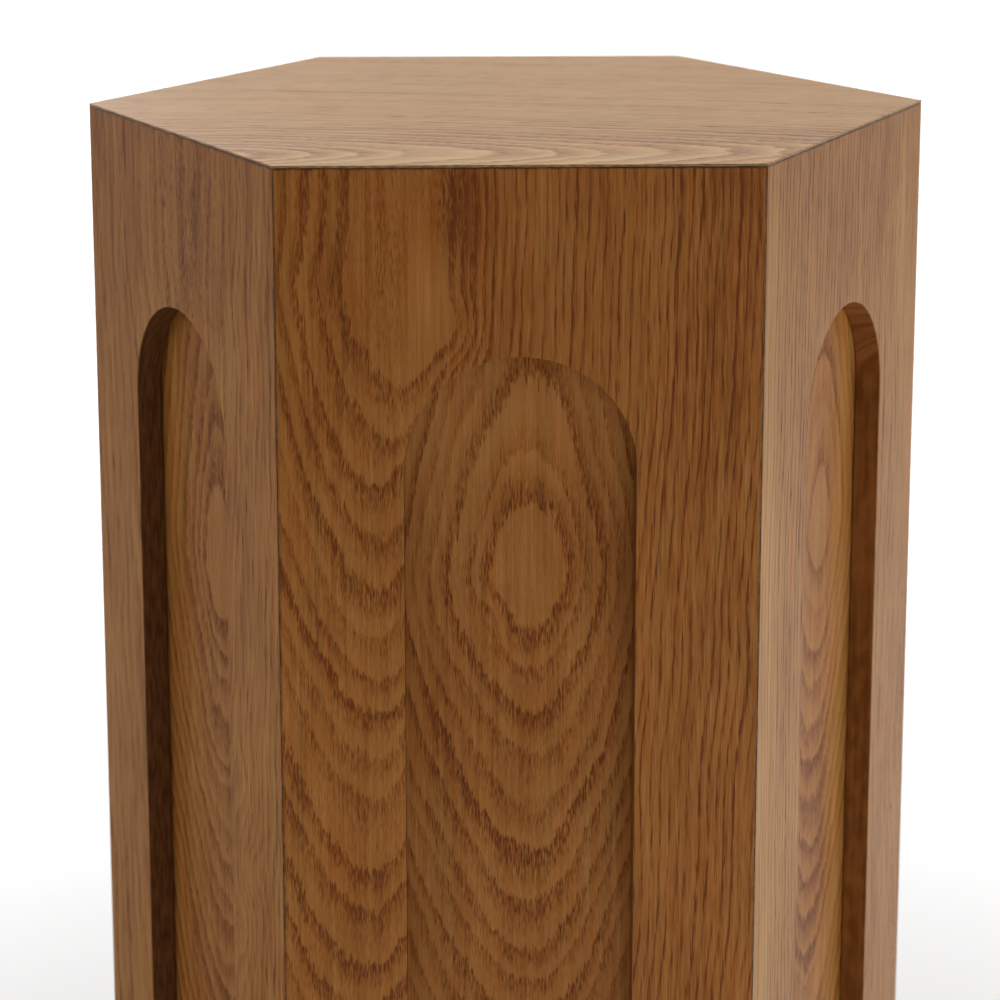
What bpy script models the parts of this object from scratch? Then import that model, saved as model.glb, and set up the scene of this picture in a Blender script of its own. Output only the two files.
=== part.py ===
"""Hexagonal display plinth with an arched recess in each face, standing on levelling feet.

Metres, +Z up. The origin lies on the floor under the middle of the plinth, and face 1 looks
along -Y. Faces are numbered 1 to 6 anticlockwise seen from above; corner 1 is between faces
1 and 2. Two layers of veneered board make the walls: recess boards inside, and outside them
side boards with the arches cut through. Both layers are mitred at the corners.
"""

import math

import bmesh
import bpy
from mathutils import Vector

# Driving dimensions
SIDES = 6
SIDE = 0.150  # length of one side of the hexagon, so 300 mm across the corners
HEIGHT = 0.600
BOARD = 0.009  # thickness of both wall layers
GAP = 0.0003  # glue line or clearance between neighbouring pieces
TOP_VENEER = 0.0007
TOP_CORE = 0.015
ARCH_HALF_WIDTH = 0.036
ARCH_CROWN_DROP = 0.060  # from the top face down to the crown of the arch
SKIRT_CLEARANCE = 0.003  # from the floor up to the walls, feet fully in
BASE_UNDERSIDE = 0.012
BASE_BOARD = 0.012
STIFFENER_UNDERSIDE = 0.300
STIFFENER_BOARD = 0.012
STIFFENER_HOLE_RADIUS = 0.045
BLOCK_HALF_WIDTH = 0.022
BLOCK_BACK = 0.090  # distance of the corner block's inner face from the plinth's axis

# Levelling foot with an M8 stud
FOOT_REACH = 0.103  # distance of the foot's axis from the plinth's axis
PAD_RADIUS = 0.013
PAD_HEIGHT = 0.006
PAD_CHAMFER = 0.0008
SOCKET_FLOOR = 0.0016
SOCKET_LIP = 0.0012
STUD_RADIUS = 0.004
STUD_TOP = 0.047
STUD_DISC_RADIUS = 0.006
SPANNER_FLATS = 0.013
SPANNER_HEIGHT = 0.005
INSERT_RADIUS = 0.0056
INSERT_TOP = 0.034
FLANGE_RADIUS = 0.0085
FLANGE = 0.0015
STUD_BORE_TOP = 0.049

# Countersunk wood screws
SCREW_RADIUS = 0.002
SCREW_HEAD_RADIUS = 0.004
SCREW_HEAD = 0.0024
SCREW_LENGTH = 0.038
SCREW_POINT = 0.005
SOCKET_FLATS = 0.003
SOCKET_DEPTH = 0.0012
BASE_SCREW_REACH = 0.1215
TOP_SCREW_REACH = 0.108

# Facets
ARCH_SEGMENTS = 36
FOOT_POINTS = 24
SCREW_POINTS = 12

# Derived sizes
APOTHEM = SIDE * math.sqrt(3) / 2
RECESS_OUTER = APOTHEM - BOARD - GAP
RECESS_INNER = RECESS_OUTER - BOARD
INSIDE = RECESS_INNER - GAP
BOARD_TOP = HEIGHT - TOP_VENEER - GAP
CORE_UNDERSIDE = BOARD_TOP - TOP_CORE
BLOCK_UNDERSIDE = BASE_UNDERSIDE + BASE_BOARD + GAP
BLOCK_TOP = CORE_UNDERSIDE - GAP
ARCH_SPRING = HEIGHT - ARCH_CROWN_DROP - ARCH_HALF_WIDTH
TAN_30 = math.tan(math.radians(30))
COS_30 = math.cos(math.radians(30))

# Linear colour, roughness and metallic value of each material
MATERIALS = {
    "ash_veneer": ((0.34, 0.17, 0.075), 0.45, 0.0),
    "recess_veneer": ((0.30, 0.13, 0.05), 0.45, 0.0),
    "core_board": ((0.30, 0.20, 0.12), 0.75, 0.0),
    "block_timber": ((0.55, 0.38, 0.21), 0.7, 0.0),
    "zinc_steel": ((0.55, 0.56, 0.57), 0.35, 1.0),
    "black_nylon": ((0.02, 0.02, 0.02), 0.55, 0.0),
}


def clear_scene():
    for obj in list(bpy.data.objects):
        bpy.data.objects.remove(obj, do_unlink=True)


def make_materials():
    """One Principled material for each finish, by name."""
    made = {}
    for name, (colour, roughness, metallic) in MATERIALS.items():
        material = bpy.data.materials.new(name)
        material.use_nodes = True
        surface = material.node_tree.nodes["Principled BSDF"]
        surface.inputs["Base Color"].default_value = (*colour, 1.0)
        surface.inputs["Roughness"].default_value = roughness
        surface.inputs["Metallic"].default_value = metallic
        material.diffuse_color = (*colour, 1.0)
        made[name] = material
    return made


def loft(name, rows, material=None, ring=False):
    """Mesh through rows of as many points each: capped at both ends, or closed into a ring."""
    shape = bmesh.new()
    loops = [[shape.verts.new(point) for point in row] for row in rows]
    followers = loops[1:] + loops[:1] if ring else loops[1:]
    for low, high in zip(loops, followers):
        for i in range(len(low)):
            j = (i + 1) % len(low)
            shape.faces.new((low[i], low[j], high[j], high[i]))
    if not ring:
        shape.faces.new(loops[0])
        shape.faces.new(loops[-1])
    bmesh.ops.recalc_face_normals(shape, faces=shape.faces)
    mesh = bpy.data.meshes.new(name)
    shape.to_mesh(mesh)
    shape.free()
    mesh.shade_smooth()
    mesh.set_sharp_from_angle(angle=math.radians(30))
    if material:
        mesh.materials.append(material)
    return mesh


def place(name, mesh, angle=0.0, reach=0.0, collection=None):
    """Object at this distance from the plinth's axis, turned by the angle about +Z."""
    obj = bpy.data.objects.new(name, mesh)
    obj.location = Vector((reach * math.cos(angle), reach * math.sin(angle), 0.0))
    obj.rotation_euler.z = angle
    (collection or bpy.context.scene.collection).objects.link(obj)
    return obj


def face_angle(number):
    """Turn that carries the front face, looking along -Y, to this face."""
    return math.radians(60 * (number - 1))


def corner_angle(number):
    """Direction of this corner from the plinth's axis."""
    return math.radians(60 * (number - 1) - 60)


def level(outline, z):
    return [(x, y, z) for x, y in outline]


def hexagon(apothem):
    """Corners of a hexagon with a face towards -Y."""
    radius = apothem / COS_30
    angles = [corner_angle(number) for number in range(1, SIDES + 1)]
    return [(radius * math.cos(angle), radius * math.sin(angle)) for angle in angles]


def prism(name, outline, low, high, material):
    return loft(name, [level(outline, low), level(outline, high)], material)


def circle(z, radius, points):
    """Level ring of points about the local Z axis."""
    angles = [2 * math.pi * i / points for i in range(points)]
    return [(radius * math.cos(angle), radius * math.sin(angle), z) for angle in angles]


def hexagonal_ring(z, across_flats, points):
    """Like circle, but following a hexagon with this size across its flats."""
    ring = []
    for i in range(points):
        angle = 2 * math.pi * i / points
        from_flat = math.radians((math.degrees(angle) + 1e-6) % 60 - 30)
        radius = across_flats / 2 / math.cos(from_flat)
        ring.append((radius * math.cos(angle), radius * math.sin(angle), z))
    return ring


def wall_half_width(apothem):
    """Half a wall board's width at this distance from the axis, with its share of the mitre gap."""
    return apothem * TAN_30 - GAP / 2 / COS_30


def plain_outline(half_width, top):
    low = SKIRT_CLEARANCE
    return [(-half_width, low), (half_width, low), (half_width, top), (-half_width, top)]


def arched_outline(half_width, top):
    """Wall board outline in (x, z) with a round-headed opening up from its lower edge."""
    low = SKIRT_CLEARANCE
    head = []
    for i in range(ARCH_SEGMENTS + 1):
        angle = math.pi * (1 - i / ARCH_SEGMENTS)
        x = ARCH_HALF_WIDTH * math.cos(angle)
        head.append((x, ARCH_SPRING + ARCH_HALF_WIDTH * math.sin(angle)))
    left = [(-half_width, top), (-half_width, low), (-ARCH_HALF_WIDTH, low)]
    right = [(ARCH_HALF_WIDTH, low), (half_width, low), (half_width, top)]
    return left + head + right


def wall_board(name, outline, top, outer, material):
    """Mitred board between two distances from the axis, its face towards -Y."""
    rows = []
    for apothem in (outer, outer - BOARD):
        points = outline(wall_half_width(apothem), top)
        rows.append([(x, -apothem, z) for x, z in points])
    return loft(name, rows, material)


def make_walls(materials):
    side = wall_board("side_panel", arched_outline, BOARD_TOP, APOTHEM, materials["ash_veneer"])
    recess_material = materials["recess_veneer"]
    recess = wall_board("recess_panel", plain_outline, BLOCK_TOP, RECESS_OUTER, recess_material)
    for number in range(1, SIDES + 1):
        place(f"side_panel_{number}", side, face_angle(number))
        place(f"recess_panel_{number}", recess, face_angle(number))


def drill(obj, cutters):
    """Cut every hole of the collection that meets this piece."""
    modifier = obj.modifiers.new("holes", "BOOLEAN")
    modifier.operation = "DIFFERENCE"
    modifier.solver = "EXACT"
    modifier.operand_type = "COLLECTION"
    modifier.collection = cutters


def make_top(materials, cutters):
    veneer_low = HEIGHT - TOP_VENEER
    sheet = prism("top_veneer", hexagon(APOTHEM), veneer_low, HEIGHT, materials["ash_veneer"])
    place("top_veneer", sheet)
    outline = hexagon(RECESS_OUTER)
    core = prism("top_core", outline, CORE_UNDERSIDE, BOARD_TOP, materials["core_board"])
    drill(place("top_core", core), cutters)


def make_base(materials, cutters):
    top = BASE_UNDERSIDE + BASE_BOARD
    base = prism("base_panel", hexagon(INSIDE), BASE_UNDERSIDE, top, materials["core_board"])
    drill(place("base_panel", base), cutters)


def block_outline():
    """Corner block's section for the corner on +X: a 120 degree ridge on a square back."""
    ridge = INSIDE / COS_30
    shoulder = ridge - BLOCK_HALF_WIDTH * TAN_30
    right = [(BLOCK_BACK, -BLOCK_HALF_WIDTH), (shoulder, -BLOCK_HALF_WIDTH)]
    left = [(shoulder, BLOCK_HALF_WIDTH), (BLOCK_BACK, BLOCK_HALF_WIDTH)]
    return right + [(ridge, 0.0)] + left


def make_corner_blocks(materials, cutters):
    timber = materials["block_timber"]
    block = prism("corner_block", block_outline(), BLOCK_UNDERSIDE, BLOCK_TOP, timber)
    for number in range(1, SIDES + 1):
        drill(place(f"corner_block_{number}", block, corner_angle(number)), cutters)


def notched_hexagon():
    """Hexagon inside the recess boards, notched round each corner block."""
    half_width = BLOCK_HALF_WIDTH + GAP
    mouth = INSIDE / COS_30 - half_width * TAN_30
    floor = BLOCK_BACK - GAP
    notch = [(mouth, -half_width), (floor, -half_width), (floor, half_width), (mouth, half_width)]
    outline = []
    for number in range(1, SIDES + 1):
        angle = corner_angle(number)
        along = Vector((math.cos(angle), math.sin(angle)))
        across = Vector((-math.sin(angle), math.cos(angle)))
        outline += [tuple(along * out + across * sideways) for out, sideways in notch]
    return outline


def make_stiffener(materials, cutters):
    top = STIFFENER_UNDERSIDE + STIFFENER_BOARD
    board = prism(
        "mid_stiffener", notched_hexagon(), STIFFENER_UNDERSIDE, top, materials["core_board"]
    )
    drill(place("mid_stiffener", board), cutters)


def screw_profile(head_z, inward, slack=0.0):
    """(z, radius) along a screw from its head, driven in the given direction along Z."""
    neck = SCREW_HEAD + slack * TAN_30
    end = SCREW_LENGTH + slack
    return [
        (head_z - inward * slack, SCREW_HEAD_RADIUS + slack),
        (head_z + inward * neck, SCREW_RADIUS + slack),
        (head_z + inward * (end - SCREW_POINT), SCREW_RADIUS + slack),
        (head_z + inward * end, SCREW_RADIUS / 4 + slack),
    ]


def screw_rows(head_z, inward):
    """Screw body, closed at its head by a hexagonal drive socket."""
    body = [circle(z, radius, SCREW_POINTS) for z, radius in screw_profile(head_z, inward)]
    rim = hexagonal_ring(head_z, SOCKET_FLATS, SCREW_POINTS)
    floor = hexagonal_ring(head_z + inward * SOCKET_DEPTH, SOCKET_FLATS, SCREW_POINTS)
    return [floor, rim] + body


def make_screws(materials):
    steel = materials["zinc_steel"]
    base_screw = loft("base_screw", screw_rows(BASE_UNDERSIDE, 1), steel)
    top_screw = loft("top_screw", screw_rows(BOARD_TOP, -1), steel)
    for number in range(1, SIDES + 1):
        angle = corner_angle(number)
        place(f"base_screw_{number}", base_screw, angle, BASE_SCREW_REACH)
        place(f"top_screw_{number}", top_screw, angle, TOP_SCREW_REACH)


def turned(name, profile, material, points, ring=False):
    rows = [circle(z, radius, points) for z, radius in profile]
    return loft(name, rows, material, ring)


def pad_profile():
    """Swivelling pad: outside from its underside, then down inside the socket for the stud."""
    lip = PAD_HEIGHT - SOCKET_LIP
    mouth = STUD_RADIUS + 2 * GAP
    socket = STUD_DISC_RADIUS + 2 * GAP
    return [
        (0.0, PAD_RADIUS - PAD_CHAMFER),
        (PAD_CHAMFER, PAD_RADIUS),
        (PAD_HEIGHT / 2, PAD_RADIUS),
        (PAD_HEIGHT, PAD_RADIUS - PAD_HEIGHT / 3),
        (PAD_HEIGHT, mouth),
        (lip, mouth),
        (lip, socket),
        (SOCKET_FLOOR, socket),
    ]


def stud_rows():
    """Stud from the disc held in the pad, through the spanner hexagon, to the threaded end."""
    disc_low = SOCKET_FLOOR + GAP
    disc_high = PAD_HEIGHT - SOCKET_LIP - GAP
    hexagon_low = PAD_HEIGHT + GAP
    hexagon_high = hexagon_low + SPANNER_HEIGHT
    chamfer = STUD_RADIUS / 4
    return [
        circle(disc_low, STUD_DISC_RADIUS, FOOT_POINTS),
        circle(disc_high, STUD_DISC_RADIUS, FOOT_POINTS),
        circle(disc_high, STUD_RADIUS, FOOT_POINTS),
        circle(hexagon_low, STUD_RADIUS, FOOT_POINTS),
        hexagonal_ring(hexagon_low, SPANNER_FLATS, FOOT_POINTS),
        hexagonal_ring(hexagon_high, SPANNER_FLATS, FOOT_POINTS),
        circle(hexagon_high, STUD_RADIUS, FOOT_POINTS),
        circle(STUD_TOP - chamfer, STUD_RADIUS, FOOT_POINTS),
        circle(STUD_TOP, STUD_RADIUS - chamfer, FOOT_POINTS),
    ]


def insert_profile():
    """Threaded insert: a flange flush with the base panel, and a barrel up into the block."""
    bore = STUD_RADIUS + GAP
    shoulder = BASE_UNDERSIDE + FLANGE
    return [
        (BASE_UNDERSIDE, bore),
        (BASE_UNDERSIDE, FLANGE_RADIUS),
        (shoulder, FLANGE_RADIUS),
        (shoulder, INSERT_RADIUS),
        (INSERT_TOP, INSERT_RADIUS),
        (INSERT_TOP, bore),
    ]


def make_feet(materials):
    steel = materials["zinc_steel"]
    insert = turned("foot_insert", insert_profile(), steel, FOOT_POINTS, ring=True)
    stud = loft("foot_stud", stud_rows(), steel)
    pad = turned("foot_pad", pad_profile(), materials["black_nylon"], FOOT_POINTS)
    for number in range(1, SIDES + 1):
        angle = corner_angle(number)
        place(f"foot_insert_{number}", insert, angle, FOOT_REACH)
        place(f"foot_stud_{number}", stud, angle, FOOT_REACH)
        place(f"foot_pad_{number}", pad, angle, FOOT_REACH)


def insert_hole_profile():
    """Counterbore for the insert's flange, and a blind hole for its barrel and the stud."""
    shoulder = BASE_UNDERSIDE + FLANGE + GAP
    hole = INSERT_RADIUS + GAP
    return [
        (BASE_UNDERSIDE - GAP, FLANGE_RADIUS + GAP),
        (shoulder, FLANGE_RADIUS + GAP),
        (shoulder, hole),
        (STUD_BORE_TOP, hole),
    ]


def make_cutters():
    """Collection of the shapes that drill the boards and blocks; none of them is a piece."""
    cutters = bpy.data.collections.new("hole_cutters")
    bpy.context.scene.collection.children.link(cutters)
    insert = turned("insert_hole", insert_hole_profile(), None, FOOT_POINTS)
    base_profile = screw_profile(BASE_UNDERSIDE, 1, GAP)
    top_profile = screw_profile(BOARD_TOP, -1, GAP)
    base_screw = turned("base_screw_hole", base_profile, None, SCREW_POINTS)
    top_screw = turned("top_screw_hole", top_profile, None, SCREW_POINTS)
    for number in range(1, SIDES + 1):
        angle = corner_angle(number)
        place(f"insert_hole_{number}", insert, angle, FOOT_REACH, cutters)
        place(f"base_screw_hole_{number}", base_screw, angle, BASE_SCREW_REACH, cutters)
        place(f"top_screw_hole_{number}", top_screw, angle, TOP_SCREW_REACH, cutters)
    low = STIFFENER_UNDERSIDE - BOARD
    high = STIFFENER_UNDERSIDE + STIFFENER_BOARD + BOARD
    profile = [(low, STIFFENER_HOLE_RADIUS), (high, STIFFENER_HOLE_RADIUS)]
    place("stiffener_hole", turned("stiffener_hole", profile, None, 36), collection=cutters)
    for cutter in cutters.objects:
        cutter.hide_render = True
        cutter.display_type = "WIRE"
    return cutters


def main():
    clear_scene()
    materials = make_materials()
    cutters = make_cutters()
    make_top(materials, cutters)
    make_walls(materials)
    make_corner_blocks(materials, cutters)
    make_stiffener(materials, cutters)
    make_base(materials, cutters)
    make_screws(materials)
    make_feet(materials)


main()
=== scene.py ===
import math
from dataclasses import dataclass, replace

import bmesh
import bpy
from mathutils import Matrix, Vector


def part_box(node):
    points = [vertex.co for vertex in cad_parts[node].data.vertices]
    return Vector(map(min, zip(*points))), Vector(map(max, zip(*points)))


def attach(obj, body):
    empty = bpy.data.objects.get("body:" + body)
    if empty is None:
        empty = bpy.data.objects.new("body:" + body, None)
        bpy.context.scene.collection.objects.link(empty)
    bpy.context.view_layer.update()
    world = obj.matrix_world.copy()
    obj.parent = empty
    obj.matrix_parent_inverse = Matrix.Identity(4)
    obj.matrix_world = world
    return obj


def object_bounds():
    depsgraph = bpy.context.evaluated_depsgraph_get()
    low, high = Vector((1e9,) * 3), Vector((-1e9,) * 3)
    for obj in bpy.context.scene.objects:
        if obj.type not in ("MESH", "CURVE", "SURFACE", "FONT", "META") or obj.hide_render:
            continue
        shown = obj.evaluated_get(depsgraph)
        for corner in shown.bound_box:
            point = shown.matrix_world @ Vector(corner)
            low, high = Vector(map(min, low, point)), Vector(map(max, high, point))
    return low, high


# The looks of a hexagonal display plinth veneered in stained ash, with one round-headed niche in each face.
# Lengths in the materials are millimetres: "across" runs to the right on a face seen from outside it,
# and "drop" runs down from the top.

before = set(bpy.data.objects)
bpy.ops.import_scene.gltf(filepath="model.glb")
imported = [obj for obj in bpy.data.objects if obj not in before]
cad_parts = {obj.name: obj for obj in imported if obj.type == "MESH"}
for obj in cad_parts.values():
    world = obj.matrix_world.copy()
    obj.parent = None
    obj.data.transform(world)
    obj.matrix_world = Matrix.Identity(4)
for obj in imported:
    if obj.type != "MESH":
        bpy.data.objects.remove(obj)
cad_low, cad_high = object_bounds()

MM = 0.001
FACES = 6
FRONT_ANGLE = -90.0
TOP_HEIGHT = cad_high.z
SIDE = (cad_high.x - cad_low.x) / 2
HALF_FACE_MM = SIDE / 2 / MM
CARCASS = "carcass"
TOUCH_GAP = 0.02 * MM
SEAM_DEPTH = 0.25 * MM
SEAM_RADIUS = 0.45 * MM
SEAM_STEPS = 12


# ---------------------------------------------------------------- formulas in materials


class Field:
    """A value worked out at every point of a surface, so that a pattern can be written as a formula."""

    def __init__(self, socket):
        self.socket = socket
        self.tree = socket.id_data

    def __add__(self, other):
        return formula("ADD", self, other)

    def __radd__(self, other):
        return formula("ADD", other, self)

    def __sub__(self, other):
        return formula("SUBTRACT", self, other)

    def __rsub__(self, other):
        return formula("SUBTRACT", other, self)

    def __mul__(self, other):
        return formula("MULTIPLY", self, other)

    def __rmul__(self, other):
        return formula("MULTIPLY", other, self)

    def __truediv__(self, other):
        return formula("DIVIDE", self, other)

    def __pow__(self, other):
        return formula("POWER", self, other)

    def __neg__(self):
        return formula("MULTIPLY", self, -1.0)

    def __abs__(self):
        return formula("ABSOLUTE", self)


def plug(value, socket):
    """Gives an input a field to follow, or a fixed value."""
    if isinstance(value, Field):
        value.tree.links.new(value.socket, socket)
    else:
        socket.default_value = value


def formula(operation, *values):
    """One step of arithmetic on fields and numbers."""
    tree = next(v.tree for v in values if isinstance(v, Field))
    step = tree.nodes.new("ShaderNodeMath")
    step.operation = operation
    for value, socket in zip(values, step.inputs):
        plug(value, socket)
    return Field(step.outputs[0])


def positive(value):
    """The value, or 0 where it is negative."""
    return formula("MAXIMUM", value, 0.0)


def fraction(value):
    """What is left of a value over its whole number."""
    return formula("FRACT", value)


def ramp(value, start, end):
    """0 on the start side, 1 on the end side and a smooth step between them."""
    step = value.tree.nodes.new("ShaderNodeMapRange")
    step.interpolation_type = "SMOOTHSTEP"
    plug(value, step.inputs["Value"])
    plug(start, step.inputs["From Min"])
    plug(end, step.inputs["From Max"])
    return Field(step.outputs["Result"])


def hill(across, drop, place, size):
    """1 at one place and falling to 0 round it, as a bell."""
    x = (across - place[0]) / size[0]
    y = (drop - place[1]) / size[1]
    return formula("EXPONENT", -(x * x + y * y))


def noise(x, y, seed, detail=2.0):
    """Smooth random variation, about -1 to 1, with lumps about one unit of x and y in size."""
    tree = x.tree
    place = tree.nodes.new("ShaderNodeCombineXYZ")
    plug(x, place.inputs[0])
    plug(y, place.inputs[1])
    place.inputs[2].default_value = seed
    texture = tree.nodes.new("ShaderNodeTexNoise")
    texture.inputs["Scale"].default_value = 1.0
    texture.inputs["Detail"].default_value = detail
    tree.links.new(place.outputs[0], texture.inputs["Vector"])
    return Field(texture.outputs["Fac"]) * 2.0 - 1.0


def mix(amount, first, second):
    """A colour between two colours."""
    step = amount.tree.nodes.new("ShaderNodeMix")
    step.data_type = "RGBA"
    plug(amount, step.inputs[0])
    plug(first, step.inputs[6])
    plug(second, step.inputs[7])
    return Field(step.outputs[2])


def shade(colour, amount):
    """A colour made darker or lighter by a field."""
    tree = amount.tree
    step = tree.nodes.new("ShaderNodeMix")
    step.data_type = "RGBA"
    step.blend_type = "MULTIPLY"
    step.inputs[0].default_value = 1.0
    plug(colour, step.inputs[6])
    grey = tree.nodes.new("ShaderNodeCombineColor")
    for channel in grey.inputs:
        plug(amount, channel)
    tree.links.new(grey.outputs[0], step.inputs[7])
    return Field(step.outputs[2])


def new_material(name):
    """An empty material, its shader, and the object's own coordinates in millimetres as fields x, y and z."""
    material = bpy.data.materials.new(name)
    material.use_nodes = True
    tree = material.node_tree
    shader = tree.nodes["Principled BSDF"]
    place = tree.nodes.new("ShaderNodeTexCoord")
    split = tree.nodes.new("ShaderNodeSeparateXYZ")
    tree.links.new(place.outputs["Object"], split.inputs[0])
    x, y, z = (Field(out) / MM for out in split.outputs)
    return material, shader, x, y, z


def surface_normal(tree):
    """The true normal of the surface as three fields."""
    geometry = tree.nodes.new("ShaderNodeNewGeometry")
    turn = tree.nodes.new("ShaderNodeVectorTransform")
    turn.vector_type = "NORMAL"
    turn.convert_from = "WORLD"
    turn.convert_to = "OBJECT"
    tree.links.new(geometry.outputs["True Normal"], turn.inputs[0])
    split = tree.nodes.new("ShaderNodeSeparateXYZ")
    tree.links.new(turn.outputs[0], split.inputs[0])
    return [Field(out) for out in split.outputs]


def bump(shader, height, depth_mm, strength):
    """Raises the surface by height, a field, times a depth."""
    step = height.tree.nodes.new("ShaderNodeBump")
    step.inputs["Distance"].default_value = depth_mm * MM
    step.inputs["Strength"].default_value = strength
    plug(height, step.inputs["Height"])
    height.tree.links.new(step.outputs["Normal"], shader.inputs["Normal"])


# ---------------------------------------------------------------- ash veneer

# The stained wood's colours, from the darkest pore to the palest summer wood, each with its place on the tone
# scale. Blush and olive are the two faint stains laid over them in streaks.
WOOD_TONES = (
    (-1.0, (0.195, 0.046, 0.004)),
    (-0.5, (0.290, 0.086, 0.011)),
    (0.0, (0.405, 0.142, 0.025)),
    (0.5, (0.490, 0.194, 0.043)),
    (1.0, (0.575, 0.252, 0.070)),
)
BLUSH = (1.10, 0.90, 0.66)
OLIVE = (0.92, 1.04, 1.12)


def palette(tone, tint):
    """The wood colour for a tone from -1, dark, to 1, light."""
    step = tone.tree.nodes.new("ShaderNodeValToRGB")
    plug(tone * 0.5 + 0.5, step.inputs["Fac"])
    stops = step.color_ramp.elements
    while len(stops) < len(WOOD_TONES):
        stops.new(0.5)
    for stop, (place, colour) in zip(stops, WOOD_TONES):
        stop.position = place * 0.5 + 0.5
        stop.color = tuple(c * t for c, t in zip(colour, tint)) + (1.0,)
    return Field(step.outputs["Color"])


def stained(colour, amount, stain_and_shade):
    """A colour with a share of a second colour multiplied into it."""
    step = amount.tree.nodes.new("ShaderNodeMix")
    step.data_type = "RGBA"
    step.blend_type = "MULTIPLY"
    plug(amount, step.inputs[0])
    plug(colour, step.inputs[6])
    plug(stain_and_shade + (1.0,), step.inputs[7])
    return Field(step.outputs[2])


@dataclass
class Leaf:
    """How one leaf of veneer is cut from the log. Rings run along the heart line and close at the eye.

    Ring and arch widths are millimetres a year, beside the heart and along it. A bulge is a place, a size and
    how far it pushes the rings aside; a patch is a place, a size and how much porous wood it adds there,
    except on the right niche, whose patch is painted light: a paler strip by the far jamb.
    Tones such as lift are on the scale of WOOD_TONES.
    """

    heart: float = 0.0
    eye: float = 150.0
    lean: float = 0.0
    flat: float = 12.0
    ring_left: float = 4.0
    ring_right: float = 4.0
    arch_up: float = 15.0
    arch_down: float = 15.0
    heart_rings: float = 1.0
    roundness: float = 1.2
    straight: float = 400.0
    sway: float = 3.0
    drift: float = 0.5
    ripple: float = 1.2
    band: float = 0.6
    narrowing: float = 0.45
    contrast: float = 1.0
    pores: float = 1.0
    seed: float = 0.0
    lift: float = 0.26
    coarse: float = 1.0
    calm_from: float = 900.0
    tint: tuple = (1.0, 1.0, 1.0)
    bulges: tuple = ()
    patches: tuple = ()


def hollow(value, flat):
    """Distance from a line, starting slowly, as rings do where a flat cut passes by the pith."""
    return formula("SQRT", value * value + flat * flat) - flat


def ring_number(leaf, across, drop):
    """Rings counted outwards from the heart, and how far out of them is sideways.

    Each whole number is the start of one year's growth.
    """
    seed = leaf.seed
    sway = noise(drop / 55.0, drop * 0.0, seed + 11.3, 1.0) * leaf.sway
    ripple = noise(across / 16.0, drop / 40.0, seed + 15.2, 1.0) * leaf.ripple
    side = across - leaf.heart - (drop - leaf.eye) * leaf.lean - sway - ripple
    for place, size, push in leaf.bulges:
        side = side - hill(across, drop, place, size) * push
    level = drop - leaf.eye + noise(across / 7.0, drop / 18.0, seed + 16.4, 1.0) * leaf.ripple * 2.2
    wide = hollow(side, leaf.flat)
    aside = wide / (ramp(side, -2.0, 2.0) * (leaf.ring_right - leaf.ring_left) + leaf.ring_left)
    ahead = hollow(level, 2.0) / (ramp(level, -3.0, 3.0) * (leaf.arch_down - leaf.arch_up) + leaf.arch_up)
    ahead = ahead * ramp(side, leaf.straight + 50.0, leaf.straight)
    reach = (aside ** leaf.roundness + ahead ** leaf.roundness) ** (1.0 / leaf.roundness)
    slow = noise(across / 38.0, drop / 110.0, seed + 3.1, 1.0) * leaf.drift
    quick = noise(across / 11.0, drop / 60.0, seed + 5.7, 2.0) * leaf.drift * 0.4
    spacing = noise(reach * 0.55, drop / 300.0, seed + 13.9, 1.0) * 0.6
    return reach + slow + quick + spacing, aside


def growth_band(leaf, ring, steep):
    """The porous early wood of each year: a crisp start that fades outwards.

    It is narrow where the rings stand steep.
    """
    year = formula("FLOOR", ring)
    part = fraction(ring)
    strength = noise(year * 0.731, year * 0.377, leaf.seed + 8.8, 0.0) * 0.7 + 0.9
    width = (1.0 - steep * leaf.narrowing) * (leaf.band + 0.3)
    gate = ramp(ring, leaf.heart_rings - 0.1, leaf.heart_rings + 0.1)
    return ramp(part, 0.0, 0.12) * ramp(part, width, 0.10) * gate * strength


def figure(leaf, across, drop, stain_and_shade=0.0):
    """The colour of one leaf of veneer and the height of its surface, pores sunk.

    The last argument adds painted shade, making the tone lighter or darker from place to place.
    """
    seed = leaf.seed
    ring, aside = ring_number(leaf, across, drop)
    steep = ramp(aside, 2.5, 9.0)
    fringe = noise(across / 0.8, drop / 5.0, seed + 1.7, 1.0) * (0.26 - steep * 0.10)
    band = growth_band(leaf, ring + fringe, steep)
    for place, size, amount in leaf.patches:
        band = band + hill(across, drop, place, size) * amount
    fine = across / leaf.coarse
    short = noise(fine / 0.38, drop / 3.4, seed + 2.2, 1.0)
    long = noise(fine / 0.42, drop / 9.0, seed + 4.4, 1.0)
    dash = short + (long - short) * steep
    pore = ramp(dash + band * 0.40, 0.50, 0.80)
    fibre = noise(fine / 0.7, drop / 30.0, seed + 6.6, 4.0)
    streak = noise(fine / 2.4, drop / 70.0, seed + 9.9, 3.0)
    cloud = noise(across / 16.0, drop / 50.0, seed + 7.7, 3.0)
    blush = ramp(noise(across / 2.8, drop / 50.0, seed + 12.1, 3.0), -0.2, 0.5)
    olive = ramp(noise(across / 6.0, drop / 90.0, seed + 14.1, 3.0), -0.1, 0.5)
    lively = 1.0 - ramp(across, leaf.calm_from, leaf.calm_from + 60.0) * 0.6
    marks = (dash * (band * 1.25 + 0.50) + pore * 0.45) * leaf.pores
    rings = band * (0.76 + steep * 0.04) * leaf.contrast
    tone = (fibre * 0.70 + streak * 0.50 + cloud * 0.55 - rings - marks) * lively + leaf.lift + stain_and_shade
    wood = palette(tone, leaf.tint)
    wood = stained(wood, blush * 0.55, BLUSH)
    wood = stained(wood, olive * 0.8, OLIVE)
    return wood, -pore - dash * 0.5


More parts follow.
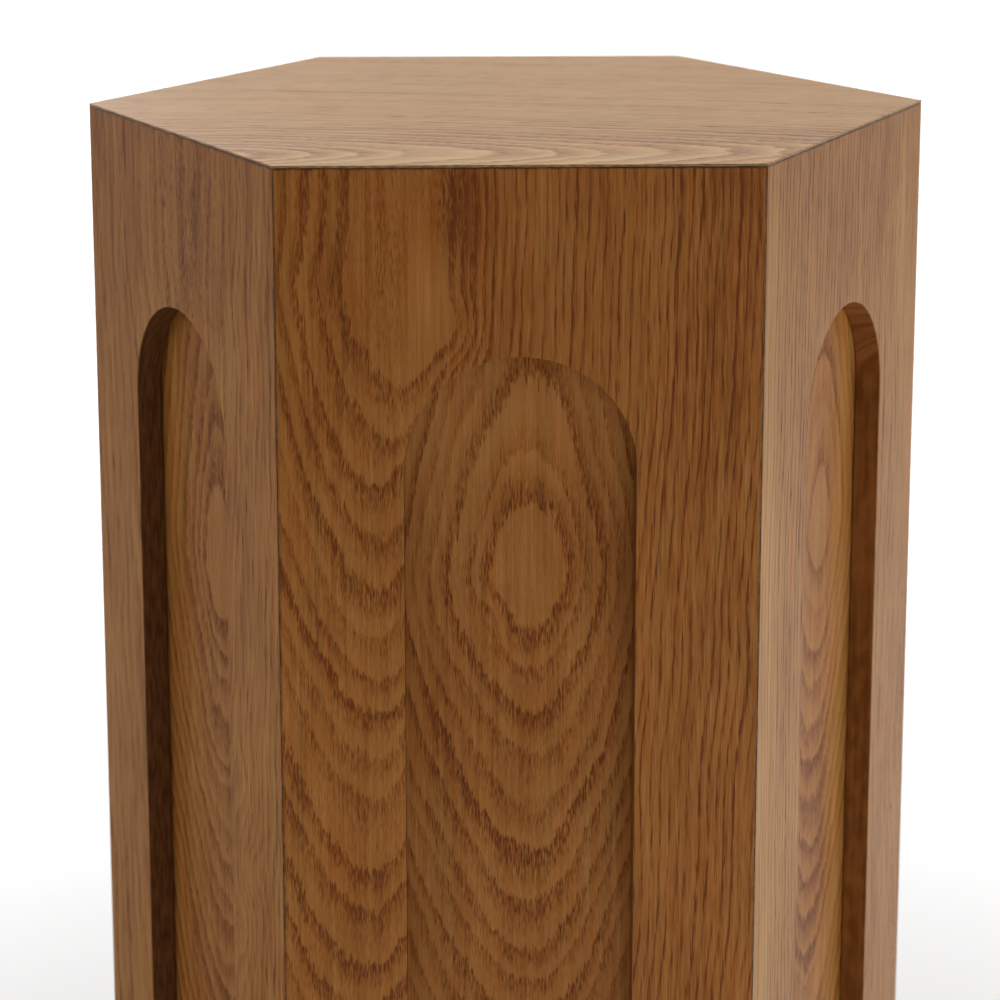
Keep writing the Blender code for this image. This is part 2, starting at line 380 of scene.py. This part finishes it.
def satin(shader, colour, height, roughness=0.45):
    """The thin satin lacquer over the veneer."""
    plug(colour, shader.inputs["Base Color"])
    plug(height * -0.12 + roughness, shader.inputs["Roughness"])
    shader.inputs["Specular IOR Level"].default_value = 0.18
    bump(shader, height, 0.12, 0.8)


FRONT_BOARD = Leaf(
    heart=-37.0, eye=34.0, lean=-0.05, flat=13.0, ring_left=5.0, ring_right=2.9, arch_up=80.0, arch_down=15.5,
    heart_rings=2.0, straight=8.0, drift=0.8, ripple=0.9, seed=1.0,
    bulges=(((-21.0, 52.0), (9.0, 10.0), 7.0), ((-40.0, 96.0), (7.0, 8.0), -6.0)),
    patches=(
        ((-27.0, 38.0), (7.0, 17.0), -0.55),
        ((-21.0, 12.0), (6.0, 15.0), 0.8),
        ((-41.0, 30.0), (5.0, 26.0), 0.5),
        ((58.0, 160.0), (26.0, 900.0), 0.22),
    ),
)
FRONT_NICHE = Leaf(
    heart=3.4, eye=133.0, flat=13.5, ring_left=4.8, ring_right=4.2, arch_up=19.0, arch_down=15.0,
    heart_rings=0.9, sway=2.0, drift=0.5, band=0.7, lift=0.34, seed=21.0,
    bulges=(((-7.0, 147.0), (7.0, 9.0), 5.0),),
    patches=(((0.0, 84.0), (40.0, 24.0), -0.40),),
)
LEFT_BOARD = Leaf(
    heart=12.0, eye=-40.0, flat=5.0, ring_left=6.5, ring_right=4.0, arch_up=60.0, arch_down=55.0,
    heart_rings=0.0, sway=6.0, drift=0.9, ripple=3.0, contrast=0.62, pores=0.72, narrowing=0.0, coarse=1.5,
    lift=0.22, seed=41.0, tint=(0.94, 1.06, 1.20),
    bulges=(
        ((47.0, 208.0), (9.0, 13.0), 8.0),
        ((53.0, 236.0), (9.0, 10.0), -8.0),
        ((46.0, 262.0), (8.0, 13.0), 7.0),
    ),
)
LEFT_NICHE = Leaf(
    heart=10.5, eye=150.0, flat=9.0, ring_left=5.4, ring_right=4.8, arch_up=22.0, arch_down=12.5,
    heart_rings=0.9, sway=2.5, drift=0.5, ripple=2.0, band=0.8, contrast=1.05, pores=0.6, narrowing=0.1,
    coarse=1.4, lift=0.26, seed=61.0, tint=(0.95, 1.04, 1.18),
)
RIGHT_BOARD = Leaf(
    heart=90.0, eye=120.0, flat=12.0, ring_left=2.9, ring_right=4.0, arch_up=60.0, arch_down=60.0,
    heart_rings=0.0, sway=2.0, drift=0.6, contrast=0.80, pores=0.85, narrowing=0.3, coarse=1.2, seed=81.0,
    tint=(0.94, 1.11, 1.26),
    patches=(((-70.0, 150.0), (9.0, 900.0), -0.8), ((70.0, 60.0), (14.0, 90.0), -0.5)),
    bulges=(((60.0, 130.0), (16.0, 50.0), 8.0), ((57.0, 250.0), (14.0, 45.0), -8.0)),
)
# Painted light: the right niche's patch pales a strip of wood beside the far jamb, where the recess looks
# brighter.
RIGHT_NICHE = Leaf(
    heart=2.3, eye=140.0, flat=9.0, ring_left=5.0, ring_right=5.0, arch_up=20.0, arch_down=14.0,
    heart_rings=0.9, sway=1.5, drift=0.5, band=0.8, contrast=1.10, pores=0.6, narrowing=0.1, coarse=1.4,
    seed=101.0, tint=(1.0, 1.10, 1.15), patches=(((27.0, 200.0), (9.0, 900.0), -0.9),),
)
TOP_LEAF = Leaf(
    heart=-110.0, eye=-90.0, flat=12.0, ring_left=4.5, ring_right=5.0, arch_up=60.0, arch_down=19.0,
    heart_rings=0.0, sway=2.0, drift=0.5, band=0.8, contrast=1.50, pores=0.8, narrowing=0.1, coarse=1.4,
    calm_from=-95.0, lift=0.38, seed=121.0, tint=(1.0, 1.40, 2.20),
    patches=(((-118.0, 0.0), (24.0, 400.0), -0.50),),
)

# The faces behind have leaves of the same kinds, cut elsewhere in the log and without the front's own marks.
PLAIN_BOARD = replace(FRONT_BOARD, straight=400.0, bulges=(), patches=())
PLAIN_NICHE = replace(FRONT_NICHE, bulges=(), patches=())

BOARD_LEAVES = {
    1: FRONT_BOARD,
    2: RIGHT_BOARD,
    3: replace(PLAIN_BOARD, heart=30.0, seed=141.0),
    4: replace(LEFT_BOARD, heart=-90.0, seed=161.0, bulges=()),
    5: replace(PLAIN_BOARD, heart=-15.0, eye=90.0, seed=181.0),
    6: LEFT_BOARD,
}
NICHE_LEAVES = {
    1: FRONT_NICHE,
    2: RIGHT_NICHE,
    3: replace(PLAIN_NICHE, heart=-6.0, eye=210.0, seed=201.0),
    4: replace(LEFT_NICHE, heart=4.0, eye=175.0, seed=221.0),
    5: replace(PLAIN_NICHE, heart=9.0, eye=120.0, seed=241.0),
    6: LEFT_NICHE,
}


def face_angle(number):
    """The direction a face looks in, in radians; a half number gives the corner after a face."""
    return math.radians(FRONT_ANGLE + 360.0 / FACES * (number - 1))


def face_fields(number, x, y, z):
    """Across and drop on one face, in millimetres."""
    angle = face_angle(number)
    across = x * -math.sin(angle) + y * math.cos(angle)
    drop = TOP_HEIGHT / MM - z
    return across, drop


def facing(tree, number):
    """1 where a surface looks straight out of the face, 0 where it looks along it."""
    angle = face_angle(number)
    nx, ny, _ = surface_normal(tree)
    return abs(nx * math.cos(angle) + ny * math.sin(angle))


# Painted shade darkens the face boards towards the top, over the length set below, and a bare lower edge
# shows SKIN_MM up the board.
# The list below gives the faces whose niche edge is painted paler, as if lit; on the other faces the edge
# carries painted shade.
JOINT_DARK = (0.10, 0.036, 0.008, 1.0)
EDGES_PAINTED_LIT = (2, 4)
SHADED_HEAD_MM = 110.0
SKIN_MM = 1.0


def board_material(number):
    """A face board: figured veneer outside, darkened towards the top with painted shade, the stained cut edge
    of the niche with painted light and shade, bare board below.
    """
    material, shader, x, y, z = new_material(f"ash_face_{number}")
    across, drop = face_fields(number, x, y, z)
    # Painted shade: the boards' tone is darkened towards the top, standing in for the lesser light there.
    painted_head_shade = ramp(drop, SHADED_HEAD_MM, 0.0) * -0.30
    colour, height = figure(BOARD_LEAVES[number], across, drop, painted_head_shade)
    cut = ramp(facing(material.node_tree, number), 0.75, 0.35)
    colour = mix(cut, colour, edge_colour(number, x, y, drop))
    colour = mix(arris(number, across, drop), colour, JOINT_DARK)
    colour = bare_below(colour, x, y, z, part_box(f"side_panel_{number}")[0].z / MM)
    satin(shader, colour, height)
    return material


BARE_DARK = (0.24, 0.15, 0.085, 1.0)
BARE_PALE = (0.42, 0.29, 0.17, 1.0)


def raw_board(x, y, z):
    """The colour of bare medium-density board, pale brown with specks of fibre, and the specks."""
    speck = noise(x / 0.7, y / 0.7 + z / 0.7, 400.0, 4.0)
    cloud = noise(x / 25.0, y / 25.0, 401.0, 3.0)
    return mix(ramp(speck + cloud * 0.4, -0.5, 0.6), BARE_DARK, BARE_PALE), speck


def bare_below(colour, x, y, z, bottom):
    """Leaves a board bare on its lower edge."""
    down = -surface_normal(colour.tree)[2]
    bare, _ = raw_board(x, y, z)
    return mix(ramp(down, 0.5, 0.9) * ramp(z, bottom + 2 * SKIN_MM, bottom + SKIN_MM), colour, bare)


def edge_colour(number, x, y, drop):
    """The stained cut edge of a niche, mottled and darkened with painted shade; on the faces in the list of
    lit edges it is painted paler, as if lit.
    """
    grain = noise(x / 1.5 + y / 1.5, drop / 9.0, 300.0 + number, 3.0)
    layers = noise((x + y) / 0.9, drop / 60.0, 310.0 + number, 2.0)
    # Painted shade and light: the dark colour stands for the stained edge in shade, the pale one for the same
    # edge in light.
    dark = mix(ramp(grain, -0.4, 0.5), (0.095, 0.034, 0.009, 1.0), (0.215, 0.082, 0.024, 1.0))
    pale = mix(ramp(grain + layers, -0.6, 0.6), (0.19, 0.064, 0.012, 1.0), (0.34, 0.128, 0.028, 1.0))
    return pale if number in EDGES_PAINTED_LIT else dark


def arris(number, across, drop):
    """Where the corner joint and the glue line under the top are dark, broken up along their length."""
    ragged = noise(drop / 5.0, across / 30.0, 320.0 + number, 4.0)
    corner = ramp(abs(across) + ragged * 0.7, HALF_FACE_MM - 0.9, HALF_FACE_MM - 0.2)
    broken = noise(across / 6.0, drop / 3.0, 340.0 + number, 4.0)
    glue = ramp(drop + broken * 0.8, 1.9, 1.1) * ramp(broken, -0.35, 0.15)
    return formula("MAXIMUM", corner * 0.45, glue * 0.9)


def niche_material(number):
    """A recess board, seen through the niche: figured veneer with a bare lower edge."""
    material, shader, x, y, z = new_material(f"ash_niche_{number}")
    across, drop = face_fields(number, x, y, z)
    colour, height = figure(NICHE_LEAVES[number], across, drop)
    colour = bare_below(colour, x, y, z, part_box(f"recess_panel_{number}")[0].z / MM)
    satin(shader, colour, height)
    return material


def top_material():
    """The leaf on the top, its grain running along x, with the pale cut edge of the veneer round it."""
    material, shader, x, y, z = new_material("ash_top")
    colour, height = figure(TOP_LEAF, y, x)
    cut = ramp(abs(surface_normal(material.node_tree)[2]), 0.8, 0.3)
    raw = noise((x + y) / 2.5, z / 0.3, 350.0, 3.0)
    colour = mix(cut, colour, mix(ramp(raw, -0.3, 0.4), (0.24, 0.11, 0.04, 1.0), (0.55, 0.35, 0.18, 1.0)))
    satin(shader, colour, height)
    return material


def seam_material(name, seed):
    """Glue and filler rubbed into a joint: dark-stained patches and patches of pale filler along its length.
    """
    material, shader, x, y, z = new_material(name)
    along = noise((x + y) / 5.0 + z / 5.0, z / 9.0, seed, 4.0)
    speck = noise((x - y) / 0.8, z / 0.9, seed + 1.0, 2.0)
    colour = mix(ramp(along + speck * 0.4, -0.25, 0.35), (0.055, 0.022, 0.008, 1.0), (0.27, 0.13, 0.05, 1.0))
    plug(colour, shader.inputs["Base Color"])
    shader.inputs["Roughness"].default_value = 0.6
    bump(shader, speck, 0.10, 0.6)
    return material


# ---------------------------------------------------------------- the hidden structure


def fibreboard_material():
    """Medium-density board, left bare."""
    material, shader, x, y, z = new_material("fibreboard")
    colour, speck = raw_board(x, y, z)
    plug(colour, shader.inputs["Base Color"])
    shader.inputs["Roughness"].default_value = 0.85
    bump(shader, speck, 0.15, 0.5)
    return material


def timber_material():
    """Planed softwood of the corner blocks, grain running up."""
    material, shader, x, y, z = new_material("block_timber")
    across = x * 0.8 + y * 0.6
    ring = across / 3.2 + noise(across / 14.0, z / 90.0, 410.0, 2.0) * 0.8
    late = ramp(fraction(ring), 0.35, 1.0)
    fibre = noise(across / 0.5, z / 20.0, 411.0, 3.0)
    colour = mix(late, (0.66, 0.45, 0.25, 1.0), (0.42, 0.23, 0.10, 1.0))
    colour = shade(colour, fibre * 0.12 + 1.0)
    plug(colour, shader.inputs["Base Color"])
    shader.inputs["Roughness"].default_value = 0.7
    bump(shader, fibre, 0.10, 0.4)
    return material


def steel_material():
    """Bright zinc plating with a faint crystal mottle and turning marks."""
    material, shader, x, y, z = new_material("zinc_steel")
    mottle = noise(x / 1.2, y / 1.2 + z / 1.2, 420.0, 3.0)
    turned = noise(z / 0.15, z * 0.0, 421.0, 2.0)
    colour = mix(ramp(mottle, -0.6, 0.6), (0.50, 0.51, 0.53, 1.0), (0.66, 0.66, 0.64, 1.0))
    plug(colour, shader.inputs["Base Color"])
    shader.inputs["Metallic"].default_value = 1.0
    plug(mottle * 0.08 + turned * 0.05 + 0.32, shader.inputs["Roughness"])
    bump(shader, turned, 0.02, 0.3)
    return material


def nylon_material():
    """Black moulded nylon with a fine spark texture, scuffed where it slides on floors."""
    material, shader, x, y, z = new_material("black_nylon")
    grain = noise(x / 0.35, y / 0.35 + z / 0.35, 430.0, 3.0)
    scuff = ramp(noise(x / 3.0, y / 0.6, 431.0, 4.0), 0.15, 0.5) * ramp(z, 1.5, 0.0)
    colour = mix(scuff * 0.6, (0.018, 0.018, 0.019, 1.0), (0.10, 0.10, 0.10, 1.0))
    plug(colour, shader.inputs["Base Color"])
    plug(grain * 0.1 + 0.5 + scuff * 0.2, shader.inputs["Roughness"])
    bump(shader, grain, 0.04, 0.5)
    return material


# ---------------------------------------------------------------- dressing the frame


def soften(piece, width_mm, segments=2, angle=35.0):
    """Rounds a piece's edges slightly, as sanding does, and keeps its flats flat."""
    weld = piece.modifiers.new("weld", "WELD")
    weld.merge_threshold = 0.00001
    flats = piece.modifiers.new("flats", "DECIMATE")
    flats.decimate_type = "DISSOLVE"
    flats.angle_limit = math.radians(0.5)
    rounding = piece.modifiers.new("rounding", "BEVEL")
    rounding.width = width_mm * MM
    rounding.segments = segments
    rounding.limit_method = "ANGLE"
    rounding.angle_limit = math.radians(angle)
    rounding.use_clamp_overlap = True
    normals = piece.modifiers.new("normals", "WEIGHTED_NORMAL")
    normals.keep_sharp = True
    piece.data.polygons.foreach_set("use_smooth", [True] * len(piece.data.polygons))


def dress(name, material, width_mm=0.2, segments=2):
    """Gives a CAD node its material and its softened edges."""
    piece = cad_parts[name]
    piece.data.materials.clear()
    piece.data.materials.append(material)
    soften(piece, width_mm, segments)
    return piece


def new_piece(name, shape, material):
    """A new piece that rides on the carcass, from a finished bmesh."""
    mesh = bpy.data.meshes.new(name)
    bmesh.ops.recalc_face_normals(shape, faces=shape.faces)
    shape.to_mesh(mesh)
    shape.free()
    mesh.materials.append(material)
    piece = bpy.data.objects.new(name, mesh)
    bpy.context.scene.collection.objects.link(piece)
    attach(piece, CARCASS)
    return piece


def prism(corners, bottom, top):
    """An upright prism on a closed outline of (x, y) points."""
    shape = bmesh.new()
    floor_face = shape.faces.new([shape.verts.new((x, y, bottom)) for x, y in corners])
    raised = bmesh.ops.extrude_face_region(shape, geom=[floor_face])["geom"]
    for vertex in raised:
        if isinstance(vertex, bmesh.types.BMVert):
            vertex.co.z = top
    return shape


def add_corner_seams():
    """A rounded bead of filler in each mitred corner, just behind the corner line."""
    panel_low, panel_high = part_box("side_panel_1")
    material = seam_material("corner_filler", 360.0)
    for number in range(1, FACES + 1):
        angle = face_angle(number + 0.5)
        heart = Vector((math.cos(angle), math.sin(angle))) * (SIDE - SEAM_DEPTH - SEAM_RADIUS)
        corners = []
        for step in range(SEAM_STEPS):
            turn = angle + 2 * math.pi * step / SEAM_STEPS
            corners.append(heart + Vector((math.cos(turn), math.sin(turn))) * SEAM_RADIUS)
        shape = prism(corners, panel_low.z + SEAM_DEPTH, panel_high.z)
        new_piece(f"corner_seam_{number}", shape, material)


def add_top_seam():
    """The line of glue between the top veneer and the face boards."""
    veneer_low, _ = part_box("top_veneer")
    _, panel_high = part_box("side_panel_1")
    corners = [Vector((math.cos(a), math.sin(a))) * (SIDE - SEAM_DEPTH)
               for a in (math.radians(360.0 / FACES * step) for step in range(FACES))]
    shape = prism(corners, panel_high.z + TOUCH_GAP, veneer_low.z - TOUCH_GAP)
    new_piece("top_glue_line", shape, seam_material("top_glue", 370.0))


def dress_all():
    """Gives every CAD node its material."""
    fibreboard = fibreboard_material()
    timber = timber_material()
    steel = steel_material()
    nylon = nylon_material()
    dress("top_veneer", top_material(), 0.15)
    dress("top_core", fibreboard)
    dress("mid_stiffener", fibreboard)
    dress("base_panel", fibreboard, 0.3)
    for number in range(1, FACES + 1):
        dress(f"side_panel_{number}", board_material(number), 0.3)
        dress(f"recess_panel_{number}", niche_material(number))
        dress(f"corner_block_{number}", timber, 0.3)
        for part in ("top_screw", "base_screw", "foot_insert", "foot_stud"):
            dress(f"{part}_{number}", steel, 0.05, 1)
        dress(f"foot_pad_{number}", nylon, 0.3)


# ---------------------------------------------------------------- stage, light and camera

FLOOR_RADIUS = 14.0
ROOM_LEVEL = 0.14
ROOM_BEHIND = 1.06
LIGHT_DISTANCE = 5.0
FLOOR_TO_LIGHT = (0.14, 0.14, 0.14, 1.0)
FLOOR_TO_CAMERA = (0.84, 0.84, 0.84, 1.0)

# The camera's place is measured from the middle of the top in lengths of one side, and its angles in degrees.
CAMERA_OFFSET = (-0.1553, -5.2938, 0.7889)
CAMERA_YAW = 2.31
CAMERA_PITCH = 8.84
CAMERA_ROLL = 0.125
CAMERA_LENS = 80.34
CAMERA_SHIFT = (-0.03267, -0.3842)
APERTURE = 18.0


def is_camera_ray(tree):
    """1 for what the camera sees directly, 0 for what only lights or mirrors."""
    return Field(tree.nodes.new("ShaderNodeLightPath").outputs["Is Camera Ray"])


def add_floor():
    """A plain pale floor, reaching well past the camera."""
    mesh = bpy.data.meshes.new("floor")
    shape = bmesh.new()
    bmesh.ops.create_circle(shape, cap_ends=True, radius=FLOOR_RADIUS, segments=96)
    shape.to_mesh(mesh)
    shape.free()
    floor = bpy.data.objects.new("floor", mesh)
    floor.location.z = cad_low.z
    bpy.context.scene.collection.objects.link(floor)
    mesh.materials.append(floor_material())


def floor_material():
    """White to the camera; in the light it throws back, bright only where the faces mirror it."""
    material, shader, x, y, z = new_material("pale_floor")
    seen = is_camera_ray(material.node_tree)
    grain = noise(x / 900.0, y / 900.0, 500.0, 2.0)
    plug(mix(seen, FLOOR_TO_LIGHT, FLOOR_TO_CAMERA), shader.inputs["Base Color"])
    plug(grain * 0.02 + 0.9, shader.inputs["Roughness"])
    shader.inputs["Specular IOR Level"].default_value = 0.0
    shader.inputs["Emission Color"].default_value = (1.0, 1.0, 1.0, 1.0)
    away = formula("SQRT", x * x + y * y)
    shown = ramp(away, 300.0, 1500.0) * 0.95 + 0.05
    right = ramp(x, 100.0, 500.0) * 0.92
    behind = ramp(y, 100.0, 600.0) * 0.34
    ahead = ramp(-y, 150.0, 300.0) * ramp(-y, 1000.0, 400.0) * 0.60
    thrown = (right + behind) * (ramp(away, 3000.0, 1000.0) * 0.55 + 0.45) + ahead + 0.06
    plug(seen * shown + (1.0 - seen) * thrown, shader.inputs["Emission Strength"])
    return material


def add_room():
    """An even grey room round the plinth, brighter behind it, and white to the camera."""
    world = bpy.data.worlds.new("room")
    bpy.context.scene.world = world
    world.use_nodes = True
    tree = world.node_tree
    place = tree.nodes.new("ShaderNodeTexCoord")
    split = tree.nodes.new("ShaderNodeSeparateXYZ")
    tree.links.new(place.outputs["Generated"], split.inputs[0])
    level = positive(Field(split.outputs["Y"])) * ROOM_BEHIND + ROOM_LEVEL
    white = (1.0, 1.0, 1.0, 1.0)
    colour = mix(is_camera_ray(tree), shade(white, level), white)
    plug(colour, tree.nodes["Background"].inputs["Color"])


def softbox(name, direction, size, level):
    """A square soft light aimed at the plinth; level is how much it lights a surface that faces it."""
    data = bpy.data.lights.new(name, "AREA")
    data.size = size
    data.energy = level * (math.pi * LIGHT_DISTANCE) ** 2
    light = bpy.data.objects.new(name, data)
    towards = Vector(direction).normalized()
    centre = (cad_low + cad_high) / 2
    light.location = centre + towards * LIGHT_DISTANCE
    light.rotation_euler = towards.to_track_quat("Z", "Y").to_euler()
    light.visible_camera = False
    bpy.context.scene.collection.objects.link(light)


def add_lights():
    """A key light from the front right, a fill from the left, one above, and two behind."""
    softbox("key_light", (0.24, -0.94, 0.18), 4.4, 0.095)
    softbox("fill_light", (-0.95, -0.20, 0.30), 3.2, 0.215)
    softbox("top_light", (0.0, 0.20, 0.98), 4.1, 0.39)
    softbox("side_light", (0.88, 0.45, 0.34), 4.1, 0.22)
    softbox("rim_light", (-0.50, 0.85, 0.30), 3.6, 0.25)


def add_camera():
    """The camera at the viewing angle, with a shifted lens that centres itself once it leaves its place."""
    yaw, pitch, roll = (math.radians(a) for a in (CAMERA_YAW, CAMERA_PITCH, CAMERA_ROLL))
    forward = Vector((math.sin(yaw) * math.cos(pitch), math.cos(yaw) * math.cos(pitch), -math.sin(pitch)))
    level_right = Vector((math.cos(yaw), -math.sin(yaw), 0.0))
    level_up = level_right.cross(forward)
    right = level_right * math.cos(roll) + level_up * math.sin(roll)
    up = level_up * math.cos(roll) - level_right * math.sin(roll)
    turn = Matrix((right, up, -forward)).transposed().to_4x4()
    data = bpy.data.cameras.new("camera")
    data.lens = CAMERA_LENS
    camera = bpy.data.objects.new("camera", data)
    camera.matrix_world = Matrix.Translation(Vector((0, 0, TOP_HEIGHT)) + Vector(CAMERA_OFFSET) * SIDE) @ turn
    bpy.context.scene.collection.objects.link(camera)
    bpy.context.scene.camera = camera
    focus = bpy.data.objects.new("focus", None)
    focus.location = (0.0, cad_low.y, TOP_HEIGHT - SIDE)
    bpy.context.scene.collection.objects.link(focus)
    data.dof.use_dof = True
    data.dof.focus_object = focus
    data.dof.aperture_fstop = APERTURE
    for path, shift in zip(("shift_x", "shift_y"), CAMERA_SHIFT):
        follow_home(camera, path, shift)


def follow_home(camera, path, shift):
    """Keeps one lens shift only while the camera stands where it was put."""
    driver = camera.data.driver_add(path).driver
    driver.type = "SCRIPTED"
    variable = driver.variables.new()
    variable.name = "x"
    variable.type = "TRANSFORMS"
    variable.targets[0].id = camera
    variable.targets[0].transform_type = "LOC_X"
    variable.targets[0].transform_space = "WORLD_SPACE"
    driver.expression = f"{shift} * (abs(x - {camera.matrix_world.translation.x:.6f}) < 0.001)"


dress_all()
add_corner_seams()
add_top_seam()
add_floor()
add_room()
add_lights()
add_camera()
bpy.context.scene.view_settings.view_transform = "Standard"
